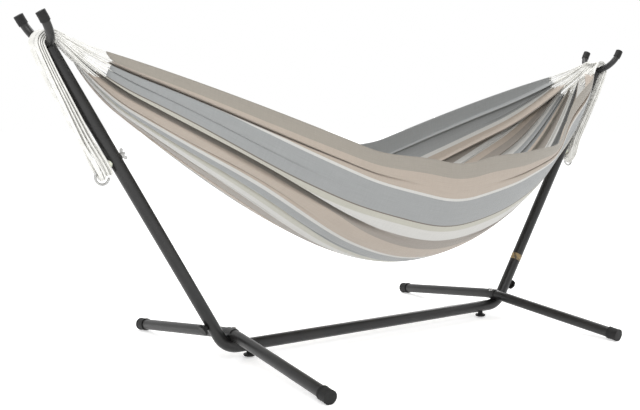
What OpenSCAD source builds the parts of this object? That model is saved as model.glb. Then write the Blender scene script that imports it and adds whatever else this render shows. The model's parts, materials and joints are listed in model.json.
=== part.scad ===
// Hammock on a knock-down steel stand.
// Origin: middle of the stand, on the floor. X runs along the base beam, Y across, Z up.

/* [Stand] */
// Distance from the middle to where beam and upright centre lines cross
elbow_x = 646; // [560:5:760]
// Lean of the uprights above the horizontal
lean = 58.5; // [52:0.5:64]
// Length along the upright, from that crossing to the fork tips
upright_reach = 1222; // [1000:10:1400]
// Outer diameter of beam, elbows and uprights
tube_od = 42; // [36:0.5:50]
// Wall of beam, elbows and uprights
tube_wall = 1.6; // [1.2:0.1:2.5]
// Centre-line radius of the elbow bend
bend_r = 85; // [75:1:110]
// Length of each elbow socket beyond the bend
socket_len = 92; // [70:1:120]
// Play between a socket and the swaged end inside it, all round
slip_gap = 0.2; // [0.1:0.05:0.4]
// Length that a swaged end stops short of the full socket
spigot_relief = 8; // [4:1:20]

/* [Feet] */
// Half of the span between the two ends of a foot
foot_half = 581; // [480:5:700]
// Outer diameter of the foot tubes
foot_od = 38; // [32:0.5:42]
// Wall of the foot tubes
foot_wall = 1.5; // [1.2:0.1:2.5]
// Angle of each arm below the middle of the foot
foot_drop = 7.7; // [6.5:0.1:9]
// Centre-line radius of the bend in the middle of a foot
foot_bend_r = 400; // [300:10:600]
// Depth of the crimp that seats the foot on the elbow
foot_nest = 4; // [2:0.5:6]
// Length of the rubber foot cap
foot_cap_len = 40; // [30:1:60]
// Wall of the rubber foot cap
foot_cap_wall = 2.6; // [2:0.1:4]
// Depth of the flat that a cap stands on
foot_cap_flat = 0.8; // [0.4:0.1:1.5]
// Width of the saddle strap over a foot
strap_w = 36; // [24:1:50]
// Thickness of the saddle strap
strap_t = 3; // [2:0.5:5]

/* [Forks] */
// Centre-line radius of the fork's half circle
fork_r = 84; // [76:1:95]
// Outer diameter of the fork tube
fork_od = 25; // [20:0.5:28]
// Wall of the fork tube
fork_wall = 1.5; // [1.2:0.1:2]
// Straight stretch at each fork tip
fork_tip = 10; // [6:1:20]
// Angle of arc that a tip cap covers
cap_arc = 12; // [8:1:16]
// Wall of a tip cap
fork_cap_wall = 2.2; // [1.6:0.1:3]
// Thickness of the plate that closes the upright's top
top_plate = 3; // [2:0.5:5]

/* [Knobs] */
// Distance of the upright knob from the centre-line crossing
upright_knob_at = 104; // [95:1:120]
// Distance of the beam knob from the centre-line crossing
beam_knob_at = 93; // [85:1:115]
// Diameter of a knob's grip
knob_d = 40; // [32:1:46]
// Thickness of a knob's grip
knob_t = 8; // [6:0.5:9]
// Diameter of the neck under the grip
neck_d = 19; // [14:0.5:22]
// Length of the neck
neck_len = 10; // [8:0.5:11]
// Number of finger scallops round a knob
scallops = 7; // [5:1:9]

/* [Hooks] */
// Distance of the hook bolt from the centre-line crossing
hook_at = 736; // [600:5:850]
// Diameter of the hook rod, and of the saddle bolts and knob screws
rod_d = 8; // [6:0.5:10]
// Radius of the hook's curl, on the rod's centre line
curl_r = 22; // [19:1:28]
// Straight reach of the hook rod from the upright's centre line
hook_reach = 62; // [58:1:76]
// Angle that the hook curls through
curl_angle = 235; // [200:5:250]
// Thickness of the spacer between hook and upright
spacer_t = 9; // [6:0.5:12]
// Diameter of the spacer
spacer_d = 24; // [20:1:28]

/* [Hammock] */
// Half length of the cloth bed
bed_half = 1080; // [900:10:1090]
// Height of the bed's lowest point
bed_low = 272; // [230:1:400]
// Distance of that lowest point from the middle, towards the right
low_at = 80; // [0:5:120]
// Height of the bed's edges in the middle
rim_low = 655; // [560:1:700]
// Half width of the open bed
bed_w = 430; // [330:5:480]
// Thickness of the cloth solid
bed_t = 4; // [3:0.5:8]
// Diameter of a harness cord
cord_d = 3; // [2.5:0.5:5]
// Number of harness cords in each fan
cord_count = 13; // [7:2:21]
// Thickness of the cord bundle over the fork
bundle_t = 28; // [20:1:30]
// Width of the cord bundle over the fork
bundle_w = 72; // [50:1:76]
// Clearance between the cord bundle and the steel
bundle_gap = 1; // [0.5:0.1:3]

/* [Hidden] */
$fn = 64;
eps = 0.5;
tube_r = tube_od / 2;
tube_id = tube_od - 2 * tube_wall;
spigot_od = tube_id - 2 * slip_gap;
spigot_id = spigot_od - 2 * tube_wall;
half_lean = lean / 2;
bend_run = bend_r * tan(half_lean);
socket_end = bend_run + socket_len;
spigot_start = bend_run + spigot_relief;
// Feet: the foot lies in the plane that halves the elbow
foot_r = foot_od / 2;
arm_run = (foot_half - foot_bend_r * sin(foot_drop)) / cos(foot_drop);
foot_fall = foot_bend_r * (1 - cos(foot_drop)) + arm_run * sin(foot_drop);
cap_fit = 0.1;
foot_cap_r = foot_r + cap_fit + foot_cap_wall;
cap_lip = 0.8;
cap_lip_len = 6;
arm_slope = asin(sin(foot_drop) * cos(half_lean));
foot_end_z = (foot_cap_r + cap_lip) * cos(arm_slope) - foot_cap_flat;
foot_z = foot_end_z + foot_fall * cos(half_lean);
foot_rho = bend_r - tube_r - foot_r + foot_nest;
beam_z = foot_z + foot_rho * cos(half_lean) - bend_r;
bend_x = elbow_x - bend_run;
foot_x = bend_x + foot_rho * sin(half_lean);
// Forks and hooks, along the upright
fork_c = upright_reach - fork_cap_wall - fork_tip;
crotch = fork_c - fork_r;
plate_top = crotch - 9;
bolt_hole = rod_d + 0.6;
nut_d = rod_d + 3;
nut_len = 12;
nut_face = sqrt(pow(spigot_od / 2, 2) - pow(nut_d / 2, 2));
screw_play = 0.1;
screw_len = 16;
part_gap = 0.4;
washer_t = 1.6;
spacer_face = tube_r + spacer_t - 3;
// Bed shape
rim_slope = 0.39;
rim_round = 60;
keel_slope = 0.75;
keel_round = 350;
lift_from = 850;
end_lift = 0.0021;
bed_taper = 0.75;
end_w = 30;
STATIONS = 24;
ACROSS = 12;
// Swing axis of the hammock, level with the cords where they leave the forks
swing_z = beam_z + (crotch + fork_od / 2 + bundle_gap + bundle_t / 2) * sin(lean);
fan_gap = 9;

// ---- Places ----
module left_side() mirror([1, 0, 0]) children();
// Upright's own frame: Z up the upright from the centre-line crossing, X outwards
module on_upright(at = 0) {
    translate([elbow_x, 0, beam_z]) rotate([0, 90 - lean, 0]) translate([0, 0, at]) children();
}
// Middle of the foot: Z towards the bend's centre
module on_foot() {
    translate([foot_x, 0, foot_z]) rotate([0, -half_lean, 0]) children();
}
// A rod from the frame's Z axis outwards along X
module outwards(from) translate([from, 0, 0]) rotate([0, 90, 0]) children();

// ---- Tubes ----
module ring2d(od, id) {
    difference() {
        circle(d = od);
        if (id > 0) circle(d = id);
    }
}
module pipe(od, id, len) {
    difference() {
        cylinder(d = od, h = len);
        if (id > 0) translate([0, 0, -eps]) cylinder(d = id, h = len + 2 * eps);
    }
}
module arc_pipe(r, od, id, from, angle) {
    rotate([0, 0, from]) rotate_extrude(angle = angle) translate([r, 0]) ring2d(od, id);
}
// A bend with an equal straight run at both ends
module bent_pipe(r, od, id, from, angle, run) {
    arc_pipe(r, od, id, from, angle);
    rotate([0, 0, from + angle]) translate([r, 0, 0]) rotate([-90, 0, 0]) pipe(od, id, run);
    rotate([0, 0, from]) translate([r, 0, 0]) rotate([90, 0, 0]) pipe(od, id, run);
}
// Bend in the XZ plane about the elbow's centre
module elbow_bend(od, id) {
    translate([bend_x, 0, beam_z + bend_r]) rotate([90, 0, 0]) arc_pipe(bend_r, od, id, -90, lean);
}
module elbow() {
    color([0.17, 0.17, 0.18]) difference() {
        union() {
            elbow_bend(tube_od, tube_id);
            translate([elbow_x - socket_end, 0, beam_z]) rotate([0, 90, 0]) pipe(tube_od, tube_id, socket_len);
        }
        translate([elbow_x - beam_knob_at, 0, beam_z - tube_r - 6]) cylinder(d = bolt_hole, h = 12);
        on_foot() translate([0, 0, foot_nest - foot_r - 8]) cylinder(d = nut_d, h = 16);
    }
}
// The sleeve welded to the elbow that takes the upright's swaged end
module upright_socket() {
    color([0.17, 0.17, 0.18]) on_upright() difference() {
        translate([0, 0, bend_run]) pipe(tube_od, tube_id, socket_len);
        translate([0, 0, upright_knob_at]) outwards(tube_r - 6) cylinder(d = bolt_hole, h = 12);
    }
}
module base_beam() {
    main = elbow_x - socket_end;
    color([0.17, 0.17, 0.18]) difference() {
        union() {
            translate([-main, 0, beam_z]) rotate([0, 90, 0]) cylinder(d = tube_od, h = 2 * main);
            translate([spigot_start - elbow_x, 0, beam_z]) rotate([0, 90, 0])
                cylinder(d = spigot_od, h = 2 * (elbow_x - spigot_start));
        }
        translate([eps + 6 - main, 0, beam_z]) rotate([0, 90, 0])
            cylinder(d = tube_id, h = 2 * (main - 6 - eps));
        translate([spigot_start - elbow_x - eps, 0, beam_z]) rotate([0, 90, 0])
            cylinder(d = spigot_id, h = 2 * (elbow_x - spigot_start + eps));
        for (s = [-1, 1])
            translate([s * (elbow_x - beam_knob_at), 0, beam_z - tube_r]) cylinder(d = nut_d, h = 10);
    }
}
module fork_solid(od) {
    rotate([90, 0, 90]) arc_pipe(fork_r, od, 0, 180, 180);
}
module upright() {
    color([0.17, 0.17, 0.18]) on_upright() difference() {
        union() {
            translate([0, 0, socket_end]) cylinder(d = tube_od, h = plate_top - socket_end);
            translate([0, 0, spigot_start]) cylinder(d = spigot_od, h = socket_end - spigot_start + eps);
        }
        translate([0, 0, socket_end + 6]) cylinder(d = tube_id, h = plate_top - top_plate - socket_end - 6);
        translate([0, 0, spigot_start - eps]) cylinder(d = spigot_id, h = socket_end - spigot_start + 8);
        translate([0, 0, upright_knob_at]) outwards(tube_r - 10) cylinder(d = nut_d, h = 12);
        translate([0, 0, hook_at]) outwards(-tube_r - eps) cylinder(d = rod_d, h = tube_od + 2 * eps);
        translate([0, 0, fork_c]) fork_solid(fork_od);
    }
}
module fork() {
    color([0.17, 0.17, 0.18]) on_upright(fork_c) rotate([90, 0, 90])
        bent_pipe(fork_r, fork_od, fork_od - 2 * fork_wall, 180, 180, fork_tip);
}
module fork_cap(s) {
    cap_od = fork_od + 2 * fork_cap_wall;
    color([0.08, 0.08, 0.08]) on_upright(fork_c) mirror([0, s > 0 ? 1 : 0, 0]) {
        rotate([90, 0, 90]) arc_pipe(fork_r, cap_od, fork_od, 180, cap_arc);
        translate([0, -fork_r, 0]) pipe(cap_od, fork_od, fork_tip);
        translate([0, -fork_r, fork_tip]) cylinder(d = cap_od, h = fork_cap_wall);
    }
}

// ---- Feet ----
// Along one arm: Z runs down the arm from the end of the bend
module on_arm(s) {
    mirror([0, s > 0 ? 0 : 1, 0])
        translate([0, foot_bend_r * sin(foot_drop), -foot_bend_r * (1 - cos(foot_drop))])
            rotate([-90 - foot_drop, 0, 0]) children();
}
module foot() {
    bore = foot_od - 2 * foot_wall;
    color([0.19, 0.19, 0.2]) difference() {
        on_foot() difference() {
            translate([0, 0, -foot_bend_r]) rotate([90, 0, 90])
                bent_pipe(foot_bend_r, foot_od, bore, 90 - foot_drop, 2 * foot_drop, arm_run - foot_cap_wall);
            translate([0, 0, -foot_od]) cylinder(d = rod_d, h = 2 * foot_od);
        }
        elbow_bend(tube_od, 0);
    }
}
module foot_cap(s) {
    color([0.08, 0.08, 0.08]) difference() {
        on_foot() on_arm(s) translate([0, 0, arm_run - foot_cap_len]) difference() {
            union() {
                cylinder(r = foot_cap_r, h = foot_cap_len);
                cylinder(r = foot_cap_r + cap_lip, h = cap_lip_len);
                translate([0, 0, foot_cap_len - cap_lip_len]) cylinder(r = foot_cap_r + cap_lip, h = cap_lip_len);
            }
            translate([0, 0, -eps]) cylinder(d = foot_od, h = foot_cap_len - foot_cap_wall + eps);
        }
        translate([foot_x - 400, s * foot_half - 400, -40]) cube([800, 800, 40]);
    }
}
module foot_saddle() {
    span = strap_w / foot_bend_r * 180 / PI;
    color([0.15, 0.15, 0.16]) on_foot() difference() {
        translate([0, 0, -foot_bend_r]) rotate([90, 0, 90]) rotate([0, 0, 90 - span / 2])
            rotate_extrude(angle = span) translate([foot_bend_r, 0]) intersection() {
                ring2d(foot_od + 2 * strap_t, foot_od);
                translate([0, -foot_od]) square([foot_od, 2 * foot_od]);
            }
        cylinder(d = rod_d, h = 2 * foot_od);
    }
}
module saddle_bolt() {
    head_r = 9;
    head_h = 5;
    dome_r = (head_r * head_r + head_h * head_h) / (2 * head_h);
    color([0.6, 0.6, 0.6]) on_foot() {
        translate([0, 0, foot_nest - foot_r - 10])
            cylinder(d = rod_d, h = 2 * foot_r - foot_nest + strap_t + 10 + eps);
        translate([0, 0, foot_r + strap_t]) intersection() {
            translate([0, 0, head_h - dome_r]) sphere(r = dome_r);
            cylinder(r = head_r, h = head_h);
        }
    }
}
module saddle_nut() {
    reach = tube_wall + 9;
    color([0.6, 0.6, 0.6]) on_foot() translate([0, 0, foot_nest - foot_r - reach])
        pipe(nut_d, rod_d, reach - 1);
}

// ---- Knobs, each in a frame with Z outwards from the tube's centre line ----
module on_upright_knob() on_upright(upright_knob_at) rotate([0, 90, 0]) children();
module on_beam_knob() translate([elbow_x - beam_knob_at, 0, beam_z]) rotate([0, 180, 0]) children();
module knob() {
    bite = knob_d * 0.16;
    color([0.04, 0.04, 0.04]) translate([0, 0, tube_r + part_gap]) difference() {
        union() {
            cylinder(d = neck_d, h = neck_len);
            translate([0, 0, neck_len]) cylinder(d1 = knob_d - 3, d2 = knob_d, h = 2);
            translate([0, 0, neck_len + 2]) cylinder(d = knob_d, h = knob_t - 4);
            translate([0, 0, neck_len + knob_t - 2]) cylinder(d1 = knob_d, d2 = knob_d - 4, h = 2);
        }
        for (i = [0 : scallops - 1])
            rotate([0, 0, i * 360 / scallops]) translate([knob_d / 2 + bite * 0.6, 0, neck_len - eps])
                cylinder(r = bite, h = knob_t + 2 * eps);
        translate([0, 0, -eps]) cylinder(d = rod_d - screw_play, h = neck_len + eps);
    }
}
module knob_screw() {
    color([0.7, 0.7, 0.7]) translate([0, 0, tube_r + part_gap + neck_len - screw_len - neck_len])
        cylinder(d = rod_d - screw_play, h = screw_len + neck_len);
}
module knob_nut() {
    color([0.6, 0.6, 0.6]) translate([0, 0, nut_face - nut_len]) pipe(nut_d, rod_d, nut_len);
}

// ---- Hooks ----
module hook() {
    tail = tube_r + washer_t + 15;
    color([0.72, 0.72, 0.7]) on_upright(hook_at) {
        outwards(-tail) cylinder(d = rod_d, h = tail + hook_reach);
        translate([hook_reach, 0, -curl_r]) rotate([90, 0, 0]) mirror([1, 0, 0])
            arc_pipe(curl_r, rod_d, 0, 90, curl_angle);
    }
}
module hook_spacer() {
    color([0.85, 0.84, 0.76]) on_upright(hook_at) difference() {
        outwards(tube_r - 5) cylinder(d = spacer_d, h = spacer_face - tube_r + 5);
        translate([0, 0, -spacer_d]) cylinder(d = tube_od, h = 2 * spacer_d);
        outwards(0) cylinder(d = rod_d, h = 2 * tube_od);
    }
}
module hook_washer() {
    color([0.7, 0.7, 0.7]) on_upright(hook_at) outwards(-tube_r - washer_t) pipe(20, rod_d, washer_t);
}
module wing_nut() {
    hub = 9;
    nut_bore = rod_d + screw_play;
    color([0.72, 0.72, 0.72]) on_upright(hook_at) outwards(-tube_r - washer_t - part_gap - hub) difference() {
        union() {
            cylinder(d = 15, h = hub);
            for (s = [0, 180]) rotate([0, 0, s]) hull() {
                translate([3, -1.5, 1]) cube([6, 3, 7]);
                translate([14, 1.5, -1]) rotate([90, 0, 0]) cylinder(r = 5, h = 3, $fn = 32);
            }
        }
        translate([0, 0, -10]) cylinder(d = nut_bore, h = 30);
    }
}
module label_band() {
    color([0.62, 0.5, 0.3]) on_upright(200) pipe(tube_od + 0.8, tube_od, 26);
}

// ---- Hammock ----
function rim_z(x) = rim_low - rim_round + sqrt(pow(rim_round, 2) + pow(rim_slope * x, 2));
function keel_z(x) = bed_low - keel_round + sqrt(pow(keel_round, 2) + pow(keel_slope * (x - low_at), 2))
    + end_lift * pow(max(0, x - lift_from), 2);
function half_w(x) = end_w + (bed_w - end_w) * pow(max(0, 1 - pow(x / (bed_half + 20), 2)), bed_taper);
// Point of the trough's section at x; a runs from -90 at one edge to 90 at the other
function section_point(x, a, inset) = [x, (half_w(x) - inset) * sin(a),
    rim_z(x) - (rim_z(x) - keel_z(x) - inset) * cos(a)];
function section(x) = concat(
    [for (i = [0 : ACROSS]) section_point(x, -90 + 180 * i / ACROSS, 0)],
    [for (i = [0 : ACROSS]) section_point(x, 90 - 180 * i / ACROSS, bed_t)]);
// A closed skin through rings of points that all hold the same number
module skin(rings) {
    count = len(rings[0]);
    last = len(rings) - 1;
    points = [for (ring = rings) for (p = ring) p];
    sides = [for (r = [0 : last - 1]) for (i = [0 : count - 1])
        let (j = (i + 1) % count) for (f = [
            [r * count + i, r * count + j, (r + 1) * count + j],
            [r * count + i, (r + 1) * count + j, (r + 1) * count + i]]) f];
    first_cap = [[for (i = [count - 1 : -1 : 0]) i]];
    last_cap = [[for (i = [0 : count - 1]) last * count + i]];
    polyhedron(points, concat(sides, first_cap, last_cap), convexity = 6);
}
// End caps of a thin trough are strips, so each is split into quads between its two skins
module trough(rings) {
    count = len(rings[0]);
    last = len(rings) - 1;
    points = [for (ring = rings) for (p = ring) p];
    sides = [for (r = [0 : last - 1]) for (i = [0 : count - 1])
        let (j = (i + 1) % count) for (f = [
            [r * count + i, (r + 1) * count + j, r * count + j],
            [r * count + i, (r + 1) * count + i, (r + 1) * count + j]]) f];
    first = [for (i = [0 : ACROSS - 1]) for (f = [
        [i, i + 1, count - 2 - i], [i, count - 2 - i, count - 1 - i]]) f];
    final = [for (f = first) [for (k = [2 : -1 : 0]) f[k] + last * count]];
    polyhedron(points, concat(sides, first, final), convexity = 6);
}
module hammock_bed() {
    color([0.72, 0.68, 0.63])
        trough([for (i = [0 : STATIONS]) section(-bed_half + 2 * bed_half * i / STATIONS)]);
}
function on_leg(n, y, a) = [elbow_x + a * cos(lean) + n * sin(lean), y, beam_z + a * sin(lean) - n * cos(lean)];
module rod_between(p, q, d) {
    v = q - p;
    len = norm(v);
    translate(p) rotate([0, acos(v[2] / len), atan2(v[1], v[0])]) cylinder(d = d, h = len, $fn = 16);
}
// Cord bundle in the upright's frame: [outwards, along, half thickness, half width]
wrap_r = fork_od / 2 + bundle_gap + bundle_t / 2;
bundle_path = concat(
    [[wrap_r * cos(150) - 4.5, crotch + wrap_r * sin(150) - 6.6, bundle_t / 2, bundle_w / 2]],
    [for (w = [150 : -26 : 20]) [wrap_r * cos(w), crotch + wrap_r * sin(w), bundle_t / 2, bundle_w / 2]],
    [[tube_r + bundle_t / 2 + 0.5, crotch - 6, bundle_t / 2 - 1, bundle_w / 2 - 4],
     [tube_r + 16, crotch - 45, bundle_t / 2, bundle_w / 2 - 7]],
    [for (k = [1 : 5]) let (u = k / 5) [
        tube_r + 16 + (hook_reach - tube_r - 28) * u, (crotch - 45) * (1 - u) + (hook_at + 22) * u,
        bundle_t / 2 + 8 * u, (bundle_w / 2 - 7) * (1 - u) + 15 * u]]);
function bundle_ring(k) =
    let (p = bundle_path[k], q = bundle_path[max(0, k - 1)], r = bundle_path[min(len(bundle_path) - 1, k + 1)],
        t = [r[0] - q[0], r[1] - q[1]], l = norm(t), nx = t[1] / l, ny = -t[0] / l)
    [for (i = [0 : 11]) let (c = p[2] * cos(i * 30), s = p[3] * sin(i * 30))
        on_leg(p[0] + nx * c, s, p[1] + ny * c)];
module tail_cords() {
    color([0.86, 0.86, 0.84]) skin([for (k = [0 : len(bundle_path) - 1]) bundle_ring(k)]);
}
module end_loop() {
    color([0.86, 0.86, 0.84]) on_upright(hook_at) outwards(spacer_face + 6)
        pipe(32, rod_d + 1, hook_reach - spacer_face - 8);
}
function mirrored(p, s) = [s * p[0], p[1], p[2]];
module fan_cords(end) {
    start = bundle_path[0];
    n0 = start[0] - 0.56 * fan_gap;
    a0 = start[1] - 0.83 * fan_gap;
    color([0.86, 0.86, 0.84]) for (i = [0 : cord_count - 1]) let (u = -90 + 180 * (i + 0.5) / cord_count)
        rod_between(on_leg(n0 + 4 * cos(2 * u), (bundle_w / 2 - 6) * sin(u), a0 - 3 * cos(2 * u)),
            mirrored(section_point(end * (bed_half - 2), u, bed_t / 2), end), cord_d);
}

base_beam();
left_side() elbow();  // elbow_left
elbow();  // elbow_right
left_side() upright_socket();  // upright_socket_left
upright_socket();  // upright_socket_right
left_side() upright();  // upright_left
upright();  // upright_right
left_side() fork();  // fork_left
fork();  // fork_right
left_side() fork_cap(-1);  // fork_cap_left_front
left_side() fork_cap(1);  // fork_cap_left_back
fork_cap(-1);  // fork_cap_right_front
fork_cap(1);  // fork_cap_right_back
left_side() foot();  // foot_left
foot();  // foot_right
left_side() foot_cap(-1);  // foot_cap_left_front
left_side() foot_cap(1);  // foot_cap_left_back
foot_cap(-1);  // foot_cap_right_front
foot_cap(1);  // foot_cap_right_back
left_side() foot_saddle();  // foot_saddle_left
foot_saddle();  // foot_saddle_right
union() { saddle_bolt(); left_side() saddle_bolt(); }  // saddle_bolts
union() { saddle_nut(); left_side() saddle_nut(); }  // saddle_nuts
union() {  // knob_nuts
    on_upright_knob() knob_nut();
    on_beam_knob() knob_nut();
    left_side() on_upright_knob() knob_nut();
    left_side() on_beam_knob() knob_nut();
}
left_side() on_upright_knob() knob();  // upright_knob_left
on_upright_knob() knob();  // upright_knob_right
left_side() on_beam_knob() knob();  // beam_knob_left
on_beam_knob() knob();  // beam_knob_right
left_side() on_upright_knob() knob_screw();  // upright_screw_left
on_upright_knob() knob_screw();  // upright_screw_right
left_side() on_beam_knob() knob_screw();  // beam_screw_left
on_beam_knob() knob_screw();  // beam_screw_right
left_side() hook();  // hook_left
hook();  // hook_right
left_side() hook_spacer();  // hook_spacer_left
hook_spacer();  // hook_spacer_right
union() { hook_washer(); left_side() hook_washer(); }  // hook_washers
left_side() wing_nut();  // wing_nut_left
wing_nut();  // wing_nut_right
label_band();
hammock_bed();
left_side() fan_cords(-1);  // fan_cords_left
fan_cords(1);  // fan_cords_right
left_side() tail_cords();  // tail_cords_left
tail_cords();  // tail_cords_right
left_side() end_loop();  // end_loop_left
end_loop();  // end_loop_right
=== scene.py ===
"""Striped cotton hammock on a knock-down steel stand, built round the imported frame."""
import json
import math
import random

import bmesh
import bpy
from mathutils import Matrix, Vector, noise


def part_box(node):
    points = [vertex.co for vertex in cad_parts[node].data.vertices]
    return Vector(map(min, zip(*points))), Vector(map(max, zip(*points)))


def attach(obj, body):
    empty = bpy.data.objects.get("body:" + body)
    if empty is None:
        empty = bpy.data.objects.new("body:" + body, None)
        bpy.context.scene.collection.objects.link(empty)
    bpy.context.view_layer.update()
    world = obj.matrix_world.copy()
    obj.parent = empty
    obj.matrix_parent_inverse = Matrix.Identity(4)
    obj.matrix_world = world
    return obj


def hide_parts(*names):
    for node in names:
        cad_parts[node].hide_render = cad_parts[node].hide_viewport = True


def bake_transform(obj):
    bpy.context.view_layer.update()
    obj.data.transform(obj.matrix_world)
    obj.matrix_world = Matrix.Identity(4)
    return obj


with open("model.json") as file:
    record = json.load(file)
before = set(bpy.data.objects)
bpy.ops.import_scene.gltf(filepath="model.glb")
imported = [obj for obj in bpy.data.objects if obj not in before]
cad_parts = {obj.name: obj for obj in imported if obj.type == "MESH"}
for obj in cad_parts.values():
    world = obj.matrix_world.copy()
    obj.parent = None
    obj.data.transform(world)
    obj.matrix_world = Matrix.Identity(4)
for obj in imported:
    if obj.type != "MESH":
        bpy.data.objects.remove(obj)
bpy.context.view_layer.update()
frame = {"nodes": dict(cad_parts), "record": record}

# Stand, in metres, as the frame has it
LEAN = math.radians(58.5)
ELBOW_X = 0.646
BEAM_Z = sum(corner[2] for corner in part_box("base_beam")) / 2
CROTCH_AT = 1.1258
HOOK_AT = 0.736
TUBE_R = 0.021
FORK_TUBE_R = 0.0125

# Camera: place, then yaw, pitch and roll in degrees
CAMERA_AT = (-2.292, -2.682, 0.823)
CAMERA_TURN = (37.13, -5.55, 0.46)
CAMERA_LENS = 54.67

# Hammock, in metres
CLOTH_W = 1.42
BED_LOW = 0.272
RIM_LOW = 0.655
BED_HALF_W = 0.43
CLOTH_T = 0.0016
END_HALF_W = 0.03  # half width that the cloth is gathered to
TIP_X = 1.16  # where the outline of the bed would close to a point
RIM_BEND = 0.06  # how rounded the rim's lowest stretch is
RIM_SLOPE = 0.39
KEEL_BEND = 0.35
KEEL_SLOPE = 0.75
LOW_AT = 0.08  # the bed hangs lowest this far to the right
GIRTH_STEPS = 24
GRID = (180, 220)  # faces along and across the cloth

# Cords, in metres
LOOPS = 32
LAYERS = 4
FAN_CORD_R = 0.0019
TAIL_CORD_R = 0.0024
BUNDLE_GAP = 0.001
BUNDLE_HALF_T = 0.014
WRAP_R = FORK_TUBE_R + BUNDLE_GAP + BUNDLE_HALF_T
WRAP_FROM = 150  # degrees round the fork tube where the bundle lands on it
WRAP_STEP = 26
WRAP_END = 5  # stations 0 to 5 lie on the fork, and the rest run down to the hook
HOOK_STATION = 10


def on_leg(side, outward, y, along):
    """A point given from the upright's own centre line."""
    x = ELBOW_X + along * math.cos(LEAN) + outward * math.sin(LEAN)
    z = BEAM_Z + along * math.sin(LEAN) - outward * math.cos(LEAN)
    return Vector((side * x, y, z))


def smooth(x, low, high):
    """From 0 at low to 1 at high, eased at both ends."""
    t = min(1.0, max(0.0, (x - low) / (high - low)))
    return t * t * (3 - 2 * t)


def bump(x, centre, width):
    """A bell that is 1 at its centre."""
    return math.exp(-(((x - centre) / width) ** 2))


# ---- Camera, light and floor ----
def add_camera():
    place = Vector(CAMERA_AT)
    yaw, pitch, roll = map(math.radians, CAMERA_TURN)
    forward = Vector((
        math.sin(yaw) * math.cos(pitch), math.cos(yaw) * math.cos(pitch), math.sin(pitch)))
    level = Vector((math.cos(yaw), -math.sin(yaw), 0))
    right = math.cos(roll) * level + math.sin(roll) * level.cross(forward)
    up = right.cross(forward)
    data = bpy.data.cameras.new("camera")
    data.sensor_width = 36
    data.lens = CAMERA_LENS
    camera = bpy.data.objects.new("camera", data)
    turn = Matrix((right, up, -forward)).transposed()
    camera.matrix_world = Matrix.Translation(place) @ turn.to_4x4()
    bpy.context.collection.objects.link(camera)
    bpy.context.scene.camera = camera


def add_area(name, place, target, size, watts):
    data = bpy.data.lights.new(name, "AREA")
    data.shape = "RECTANGLE"
    data.size, data.size_y = size
    data.energy = watts
    lamp = bpy.data.objects.new(name, data)
    lamp.location = place
    aim = Vector(target) - Vector(place)
    lamp.rotation_euler = aim.to_track_quat("-Z", "Y").to_euler()
    bpy.context.collection.objects.link(lamp)


def add_studio():
    world = bpy.data.worlds.new("studio")
    world.use_nodes = True
    world.node_tree.nodes["Background"].inputs["Color"].default_value = (1, 1, 1, 1)
    world.node_tree.nodes["Background"].inputs["Strength"].default_value = 1.0
    bpy.context.scene.world = world
    bpy.context.scene.view_settings.view_transform = "Standard"
    add_area("key", (-3.2, -3.4, 3.6), (0, 0, 0.5), (2.2, 2.2), 70)
    add_area("top", (0.6, 0.8, 3.4), (0, 0, 0.5), (2.6, 1.6), 55)
    add_area("rim", (3.4, 2.6, 2.2), (0, 0, 0.5), (1.4, 2.0), 30)


def add_floor():
    mesh = bpy.data.meshes.new("floor")
    bm = bmesh.new()
    bmesh.ops.create_grid(bm, x_segments=1, y_segments=1, size=30)
    bm.to_mesh(mesh)
    bm.free()
    floor = bpy.data.objects.new("floor", mesh)
    mesh.materials.append(floor_material())
    bpy.context.collection.objects.link(floor)


# ---- Materials ----
def new_material(name, colour, roughness, **more):
    material = bpy.data.materials.new(name)
    material.use_nodes = True
    shader = material.node_tree.nodes["Principled BSDF"]
    shader.inputs["Base Color"].default_value = (*colour, 1)
    shader.inputs["Roughness"].default_value = roughness
    for socket, value in more.items():
        shader.inputs[socket.replace("_", " ")].default_value = value
    return material, shader


def add_node(material, kind, settings=None, **inputs):
    node = material.node_tree.nodes.new(kind)
    for key, value in (settings or {}).items():
        setattr(node, key, value)
    for key, value in inputs.items():
        socket = node.inputs[key.replace("_", " ")]
        if isinstance(value, bpy.types.NodeSocket):
            material.node_tree.links.new(value, socket)
        else:
            socket.default_value = value
    return node


def link(material, source, target):
    material.node_tree.links.new(source, target)


def coordinates(material, source="Object"):
    return add_node(material, "ShaderNodeTexCoord").outputs[source]


def grain(material, scale, detail=4.0, where=None, stretch=None):
    where = where or coordinates(material)
    if stretch:
        where = add_node(material, "ShaderNodeMapping", Vector=where, Scale=stretch).outputs["Vector"]
    return add_node(
        material, "ShaderNodeTexNoise", Vector=where, Scale=scale, Detail=detail).outputs["Fac"]


def shade_between(material, shader, factor, dark, light, low=0.35, high=0.65):
    ramp = add_node(material, "ShaderNodeValToRGB", Fac=factor)
    ramp.color_ramp.elements[0].position = low
    ramp.color_ramp.elements[0].color = (*dark, 1)
    ramp.color_ramp.elements[1].position = high
    ramp.color_ramp.elements[1].color = (*light, 1)
    link(material, ramp.outputs["Color"], shader.inputs["Base Color"])


def add_bump(material, shader, height, distance, strength=1.0, before=None):
    node = add_node(material, "ShaderNodeBump", Height=height, Distance=distance, Strength=strength)
    if before:
        link(material, before.outputs["Normal"], node.inputs["Normal"])
    link(material, node.outputs["Normal"], shader.inputs["Normal"])
    return node


def vary_roughness(material, shader, factor, low, high):
    node = add_node(material, "ShaderNodeMapRange", Value=factor, To_Min=low, To_Max=high)
    link(material, node.outputs["Result"], shader.inputs["Roughness"])


def floor_material():
    material, shader = new_material("pale floor", (0.93, 0.93, 0.93), 0.9, Emission_Strength=0.4)
    shader.inputs["Emission Color"].default_value = (1, 1, 1, 1)
    shader.inputs["Specular IOR Level"].default_value = 0.0
    shade_between(material, shader, grain(material, 3), (0.92, 0.92, 0.92), (0.94, 0.94, 0.94))
    return material


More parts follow.
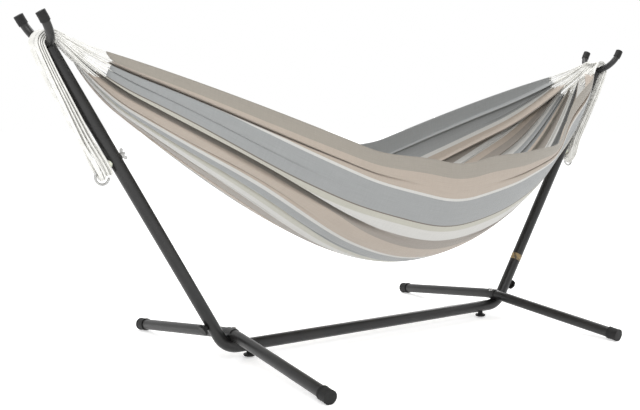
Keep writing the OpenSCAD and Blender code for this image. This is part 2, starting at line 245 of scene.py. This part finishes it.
def powder_coat():
    material, shader = new_material(
        "powder coat", (0.012, 0.012, 0.0117), 0.32, Specular_IOR_Level=0.42)
    cloud = grain(material, 9)
    shade_between(material, shader, cloud, (0.009, 0.009, 0.009), (0.0145, 0.0142, 0.0138))
    vary_roughness(material, shader, grain(material, 40), 0.26, 0.38)
    soft = add_bump(material, shader, grain(material, 260, 2), 0.0006, 0.25)
    add_bump(material, shader, grain(material, 1500, 1), 0.0002, 0.35, soft)
    return material


def cap_rubber():
    material, shader = new_material("cap rubber", (0.01, 0.01, 0.01), 0.62, Specular_IOR_Level=0.3)
    shade_between(material, shader, grain(material, 60), (0.006, 0.006, 0.006), (0.012, 0.012, 0.0118))
    add_bump(material, shader, grain(material, 1200, 2), 0.0002, 0.5)
    return material


def knob_plastic():
    material, shader = new_material(
        "knob plastic", (0.008, 0.008, 0.008), 0.55, Specular_IOR_Level=0.25)
    shade_between(material, shader, grain(material, 90), (0.007, 0.007, 0.007), (0.013, 0.013, 0.013))
    add_bump(material, shader, grain(material, 1800, 1), 0.00015, 0.4)
    return material


def plated_steel(name, colour, roughness):
    material, shader = new_material(name, colour, roughness, Metallic=1.0)
    darker = tuple(c * 0.72 for c in colour)
    shade_between(material, shader, grain(material, 220), darker, colour)
    vary_roughness(material, shader, grain(material, 500), roughness - 0.08, roughness + 0.12)
    add_bump(material, shader, grain(material, 900), 0.0001, 0.3)
    return material


def spacer_plastic():
    material, shader = new_material("spacer nylon", (0.7, 0.69, 0.58), 0.45, Subsurface_Weight=0.1)
    shade_between(material, shader, grain(material, 120), (0.6, 0.59, 0.46), (0.74, 0.73, 0.62))
    add_bump(material, shader, grain(material, 700), 0.0002, 0.3)
    return material


def label_film():
    material, shader = new_material("label film", (0.2, 0.14, 0.06), 0.5)
    worn = grain(material, 90, 6)
    shade_between(material, shader, worn, (0.06, 0.048, 0.035), (0.27, 0.19, 0.085), 0.4, 0.6)
    add_bump(material, shader, worn, 0.0002, 0.4)
    return material


def cord_cotton():
    material, shader = new_material("cotton cord", (0.72, 0.715, 0.68), 0.85, Sheen_Weight=0.25)
    twist = add_node(
        material, "ShaderNodeTexWave", {"wave_type": "BANDS", "bands_direction": "DIAGONAL"},
        Vector=coordinates(material), Scale=230.0, Distortion=1.5, Detail=1.0)
    fluff = grain(material, 35)
    shade_between(material, shader, fluff, (0.66, 0.655, 0.62), (0.78, 0.775, 0.745))
    soft = add_bump(material, shader, twist.outputs["Fac"], 0.0006, 0.3)
    add_bump(material, shader, grain(material, 1400, 2), 0.0003, 0.25, soft)
    return material


# Stripes from the near edge to the far edge: colour, and width as a share of their total
KHAKI = (0.262, 0.240, 0.206)
SAND = (0.350, 0.300, 0.252)
WHITE = (0.47, 0.465, 0.445)
CREAM = (0.385, 0.375, 0.325)
GREY = (0.248, 0.256, 0.256)
TAUPE = (0.238, 0.214, 0.188)
THREAD = (0.13, 0.11, 0.095)
STRIPES = [
    (KHAKI, 58), (THREAD, 2), (SAND, 88), (WHITE, 14), (GREY, 120), (THREAD, 2), (CREAM, 31),
    (WHITE, 56), (THREAD, 2), (TAUPE, 68), (THREAD, 2), (SAND, 94), (WHITE, 14), (GREY, 84),
    (CREAM, 40), (WHITE, 60), (TAUPE, 60), (KHAKI, 40), (SAND, 56), (GREY, 70), (WHITE, 44),
    (THREAD, 2), (TAUPE, 74), (SAND, 30), (WHITE, 44), (TAUPE, 60), (THREAD, 2), (SAND, 60),
    (WHITE, 15), (GREY, 190),
]


def striped_cotton():
    material, shader = new_material("striped cotton", SAND, 0.88, Sheen_Weight=0.2)
    uv = coordinates(material, "UV")
    across = add_node(material, "ShaderNodeSeparateXYZ", Vector=uv).outputs["Y"]
    ramp = add_node(material, "ShaderNodeValToRGB", Fac=across)
    ramp.color_ramp.interpolation = "CONSTANT"
    total = sum(width for _, width in STRIPES)
    at = 0
    for i, (colour, width) in enumerate(STRIPES):
        stop = ramp.color_ramp.elements[0] if i == 0 else ramp.color_ramp.elements.new(at / total)
        stop.position = at / total
        stop.color = (*colour, 1)
        at += width
    last = ramp.color_ramp.elements[len(STRIPES)]
    last.position = 1.0
    last.color = (*STRIPES[-1][0], 1)
    threads = grain(material, 90, 3, uv, (0.25, 9.0, 1.0))
    slubs = grain(material, 40, 4, uv, (10.0, 0.8, 1.0))
    warp_tone = add_node(material, "ShaderNodeMapRange", Value=threads, To_Min=0.86, To_Max=1.12)
    weft_tone = add_node(material, "ShaderNodeMapRange", Value=slubs, To_Min=0.93, To_Max=1.06)
    tone = add_node(material, "ShaderNodeMath", {"operation": "MULTIPLY"})
    link(material, warp_tone.outputs["Result"], tone.inputs[0])
    link(material, weft_tone.outputs["Result"], tone.inputs[1])
    mixed = add_node(material, "ShaderNodeMix", {"data_type": "RGBA", "blend_type": "MULTIPLY"})
    mixed.inputs["Factor"].default_value = 1.0
    link(material, ramp.outputs["Color"], mixed.inputs[6])
    link(material, tone.outputs["Value"], mixed.inputs[7])
    link(material, mixed.outputs[2], shader.inputs["Base Color"])
    warp = add_node(
        material, "ShaderNodeTexWave", {"bands_direction": "Y"},
        Vector=uv, Scale=150.0, Distortion=0.6, Detail=1.0)
    weft = add_node(
        material, "ShaderNodeTexWave", {"bands_direction": "X"},
        Vector=uv, Scale=230.0, Distortion=0.6, Detail=1.0)
    soft = add_bump(material, shader, warp.outputs["Fac"], 0.0006, 0.35)
    soft = add_bump(material, shader, weft.outputs["Fac"], 0.0006, 0.35, soft)
    add_bump(material, shader, threads, 0.0012, 0.35, soft)
    return material


# ---- Cloth bed ----
def rim_z(x):
    """Height of the bed's two long edges."""
    return RIM_LOW - RIM_BEND + math.sqrt(RIM_BEND ** 2 + (RIM_SLOPE * x) ** 2)


def keel_z(x):
    """Height of the bed's lowest line, which lifts towards the forks."""
    lift = 2.1 * max(0.0, x - 0.85, -x - 1.0) ** 2
    fall = math.sqrt(KEEL_BEND ** 2 + (KEEL_SLOPE * (x - LOW_AT)) ** 2)
    return BED_LOW - KEEL_BEND + fall + lift


def half_width(x):
    return END_HALF_W + (BED_HALF_W - END_HALF_W) * max(0.0, 1 - (x / TIP_X) ** 2) ** 0.75


def section(x, across):
    """A point of the open bed and its outward direction; across is -1 at the near edge."""
    angle = across * math.pi / 2
    width = half_width(x)
    sag = 0.043 * smooth(abs(x), 0.1, 0.38)
    if across < 0:
        sag += 0.09 * bump(x, 0.66, 0.24 if x < 0.66 else 0.16)
        width *= 1 + 0.22 * across * bump(x, 0.84, 0.2)
    top = rim_z(x) - sag * abs(across) ** 1.6
    depth = max(0.02, top - keel_z(x))
    place = Vector((x, width * math.sin(angle), top - depth * math.cos(angle)))
    outward = Vector((0, math.sin(angle) / max(width, 0.02), -math.cos(angle) / depth)).normalized()
    return place, outward


def girth(x):
    """Distance across the bed along its surface, without folds."""
    points = [section(x, -1 + 2 * k / GIRTH_STEPS)[0] for k in range(GIRTH_STEPS + 1)]
    return sum((b - a).length for a, b in zip(points, points[1:]))


# Folds along the cloth: where they lie across it, their share of the spare cloth, their lean
FOLDS = [
    (-0.845, 0.100, 0.35), (-0.690, 0.030, -0.2), (-0.475, 0.150, 0.3), (-0.290, 0.035, 0.2),
    (-0.160, 0.110, -0.2), (-0.020, 0.040, 0.3), (0.120, 0.100, 0.1), (0.250, 0.045, -0.3),
    (0.380, 0.110, 0.3), (0.510, 0.040, 0.2), (0.640, 0.120, -0.35), (0.770, 0.030, 0.1),
    (0.870, 0.090, -0.3),
]


def gather(x, across, spare):
    """Where cloth lands on the section, and how deep and how far along it a fold takes it."""
    spot, total, depth, slide = 0.0, 2.0, 0.0, 0.0
    for i, (centre, share, lean) in enumerate(FOLDS):
        centre += 0.022 * noise.noise(Vector((x * 1.6, i * 3.7, 0.5)))
        share *= 1 + 0.5 * noise.noise(Vector((x * 1.1, i * 5.1, 2.5)))
        if i == 2:
            share += 0.22 * bump(x, -0.5, 0.3)
        half = max(1e-4, share * spare / CLOTH_W)
        taken = 0.74 * smooth(abs(x), 0.02, 0.42) * smooth(half, 0.004, 0.014)
        total -= 2 * half * taken
        inside = min(half, max(-half, across - centre))
        spot -= taken * (inside + half)
        if abs(inside) < half:
            rise = 0.5 + 0.5 * math.cos(math.pi * inside / half)
            deep = 0.46 * half * CLOTH_W * taken * rise
            depth += deep
            slide += lean * deep
    spot = (across + 1 + spot) / total * 2 - 1
    return spot, depth, slide


def cloth_reach(side, across):
    """How far along X the cloth's end comes; it differs from the near edge to the far one."""
    if side < 0:
        return 1.093 + 0.062 * smooth(across, -0.45, -0.15) - 0.11 * smooth(across, 0.2, 0.8)
    return 1.118 - 0.034 * smooth(across, -0.3, 0.6)


def cloth_point(along, across, girths):
    """Where a point of the flat cloth hangs; along and across run from -1 to 1."""
    side = -1 if along < 0 else 1
    frill = 0.014 * noise.noise(Vector((across * 11, side * 3, 1.5))) * smooth(abs(along), 0.88, 1.0)
    x = along * cloth_reach(side, across) + frill
    spot = min(1.0, abs(x) / TIP_X) * (len(girths) - 1)
    low = int(spot)
    here = girths[low] + (girths[min(low + 1, len(girths) - 1)] - girths[low]) * (spot - low)
    land, depth, slide = gather(x, across, max(0.0, CLOTH_W - here))
    place, outward = section(x, land)
    tangent = Vector((0, -outward.z, outward.y))
    place -= outward * depth
    place += tangent * slide
    soft = 0.006 * noise.noise(Vector((x * 1.7, across * 5.0, 7.7)))
    place += outward * soft * (1 - across ** 4)
    place.z = max(place.z, BED_LOW + 0.001)
    return place


def add_piece(name, bm, material, body):
    mesh = bpy.data.meshes.new(name)
    bm.to_mesh(mesh)
    bm.free()
    mesh.materials.append(material)
    for face in mesh.polygons:
        face.use_smooth = True
    piece = bpy.data.objects.new(name, mesh)
    bpy.context.collection.objects.link(piece)
    if body:
        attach(piece, body)
    return piece


def make_bed(material):
    rows, columns = GRID
    bm = bmesh.new()
    bmesh.ops.create_grid(bm, x_segments=rows, y_segments=columns, size=1, calc_uvs=True)
    layer = bm.loops.layers.uv.verify()
    for face in bm.faces:
        for loop in face.loops:
            loop[layer].uv = ((loop.vert.co.x + 1) / 2, (loop.vert.co.y + 1) / 2)
    stations = [k / GIRTH_STEPS * TIP_X for k in range(GIRTH_STEPS + 1)]
    girths = [(girth(x) + girth(-x)) / 2 for x in stations]
    for vert in bm.verts:
        vert.co = cloth_point(vert.co.x, vert.co.y, girths)
    bmesh.ops.recalc_face_normals(bm, faces=bm.faces)
    bed = add_piece("cloth_bed", bm, material, "hammock")
    wall = bed.modifiers.new("cloth", "SOLIDIFY")
    wall.thickness = CLOTH_T
    wall.offset = 0
    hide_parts("hammock_bed")
    return girths


# ---- Cords ----
def add_cords(name, routes, radius, material, body):
    """Round cords along smooth routes, joined in one piece."""
    data = bpy.data.curves.new(name, "CURVE")
    data.dimensions = "3D"
    data.resolution_u = 3
    data.bevel_depth = radius
    data.bevel_resolution = 1
    data.use_fill_caps = True
    for route in routes:
        spline = data.splines.new("NURBS")
        spline.points.add(len(route) - 1)
        for point, place in zip(spline.points, route):
            point.co = (*place, 1)
        spline.order_u = 3
        spline.use_endpoint_u = True
    shape = bpy.data.objects.new(name + "_curve", data)
    bpy.context.collection.objects.link(shape)
    bpy.context.view_layer.update()
    solid = shape.evaluated_get(bpy.context.evaluated_depsgraph_get())
    mesh = bpy.data.meshes.new_from_object(solid)
    bpy.data.objects.remove(shape)
    bm = bmesh.new()
    bm.from_mesh(mesh)
    bpy.data.meshes.remove(mesh)
    return add_piece(name, bm, material, body)


def bundle_point(side, k, spread, layer):
    """A place in the bundle of cords from the fork to the hook; spread and layer run from -1 to 1."""
    if k < 0:
        angle = math.radians(WRAP_FROM)
        n = WRAP_R * math.cos(angle) + k * 0.0045
        a = CROTCH_AT + WRAP_R * math.sin(angle) + k * 0.0066
        tangent = Vector((-0.56, -0.83))
    elif k <= WRAP_END:
        angle = math.radians(WRAP_FROM - WRAP_STEP * k)
        n = WRAP_R * math.cos(angle)
        a = CROTCH_AT + WRAP_R * math.sin(angle)
        tangent = Vector((math.sin(angle), -math.cos(angle)))
    else:
        t = (k - WRAP_END) / (HOOK_STATION - WRAP_END)
        top_n, top_a = TUBE_R + BUNDLE_HALF_T, CROTCH_AT - 0.012
        n = top_n + (0.052 - top_n) * t
        a = top_a + (HOOK_AT + 0.026 - top_a) * t
        tangent = Vector((0.05, -1))
    down = smooth(k, WRAP_END, HOOK_STATION)
    half_y = 0.034 + (0.013 - 0.034) * down
    half_n = 0.010 + (0.017 - 0.010) * down
    normal = Vector((-tangent.y, tangent.x))
    if k < 0:
        normal = -normal
    lift = half_n * layer if k > WRAP_END else half_n * layer + 0.005 * spread * spread
    if 0 <= k <= WRAP_END:
        normal = Vector((math.cos(angle), math.sin(angle)))
    return on_leg(side, n + normal.x * lift, half_y * spread, a + normal.y * lift)


def make_tail(side, name, material):
    """Loops of cord from the fork, down the outer side, round the hook rod and back."""
    chance = random.Random(7 if side < 0 else 11)
    columns = LOOPS // LAYERS
    routes = []
    for i in range(LOOPS):
        column, layer = i // LAYERS, (i % LAYERS) / (LAYERS - 1) * 2 - 1
        spread = -1 + (column + 0.5) / columns
        if i % 2:
            spread += 0.5 / columns
        rod_n = 0.051 + 0.018 * layer + chance.uniform(-0.003, 0.003)
        ring = 0.009 + 0.014 * chance.random()
        lean = chance.uniform(-0.001, 0.001)
        down = [bundle_point(side, k, spread, layer) for k in range(-1, 10)]
        down.append(on_leg(side, rod_n + lean, -ring - 0.003, HOOK_AT + 0.014))
        around = [
            on_leg(side, rod_n, -ring * math.cos(t), HOOK_AT - (0.010 + ring) * math.sin(t))
            for t in (0.5, 1.1, 1.57, 2.04, 2.64)]
        back = [on_leg(side, rod_n + lean, ring + 0.003, HOOK_AT + 0.014)]
        back += [bundle_point(side, k, -spread, layer) for k in range(9, -2, -1)]
        routes.append(down + around + back)
    tail = add_cords(f"tail_{name}", routes, TAIL_CORD_R, material, "stand")
    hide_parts(f"tail_cords_{name}", f"end_loop_{name}")


def make_fan(side, name, material, girths):
    """Cords that spread from the fork to the cloth's gathered end."""
    chance = random.Random(3 if side < 0 else 5)
    routes = []
    count = 2 * LOOPS
    for i in range(count):
        across = -0.99 + 1.98 * i / (count - 1)
        spread = math.sin(across * math.pi / 2) * 0.95
        layer = 1 - 2 * math.cos(across * math.pi / 2) + chance.uniform(-0.25, 0.25)
        start = bundle_point(side, 0, spread, layer)
        beyond = bundle_point(side, -1.6, spread * 0.98, layer)
        end = cloth_point(side * 0.999, across, girths)
        inside = cloth_point(side * 0.992, across, girths)
        middle = Vector((inside.x, 0, rim_z(inside.x) - 0.06))
        inside += (middle - inside).normalized() * 0.004
        half = beyond.lerp(end, 0.5)
        half.z -= 0.002 + 0.003 * chance.random()
        half.y += chance.uniform(-0.002, 0.002)
        routes.append([start, beyond, half, end, inside])
    fan = add_cords(f"fan_{name}", routes, FAN_CORD_R, material, None)
    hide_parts(f"fan_cords_{name}")
    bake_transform(fan)


# ---- Finish of the frame's own parts ----
def dress_frame():
    looks = {
        "powder_coat": powder_coat(),
        "cap_rubber": cap_rubber(),
        "knob_plastic": knob_plastic(),
        "zinc_steel": plated_steel("zinc plate", (0.55, 0.55, 0.54), 0.35),
        "galvanised": plated_steel("galvanised steel", (0.5, 0.5, 0.49), 0.4),
        "spacer_plastic": spacer_plastic(),
        "blank_label": label_film(),
        "cotton_cord": cord_cotton(),
        "striped_cotton": striped_cotton(),
    }
    for part in frame["record"]["subparts"]:
        node = frame["nodes"][part["node"]]
        material = looks[part["material_slot"]]
        if not node.material_slots:
            node.data.materials.append(material)
        for slot in node.material_slots:
            slot.material = material
    return looks


def build():
    add_camera()
    add_studio()
    add_floor()
    looks = dress_frame()
    girths = make_bed(looks["striped_cotton"])
    for side, name in ((-1, "left"), (1, "right")):
        make_fan(side, name, looks["cotton_cord"], girths)
        make_tail(side, name, looks["cotton_cord"])


build()
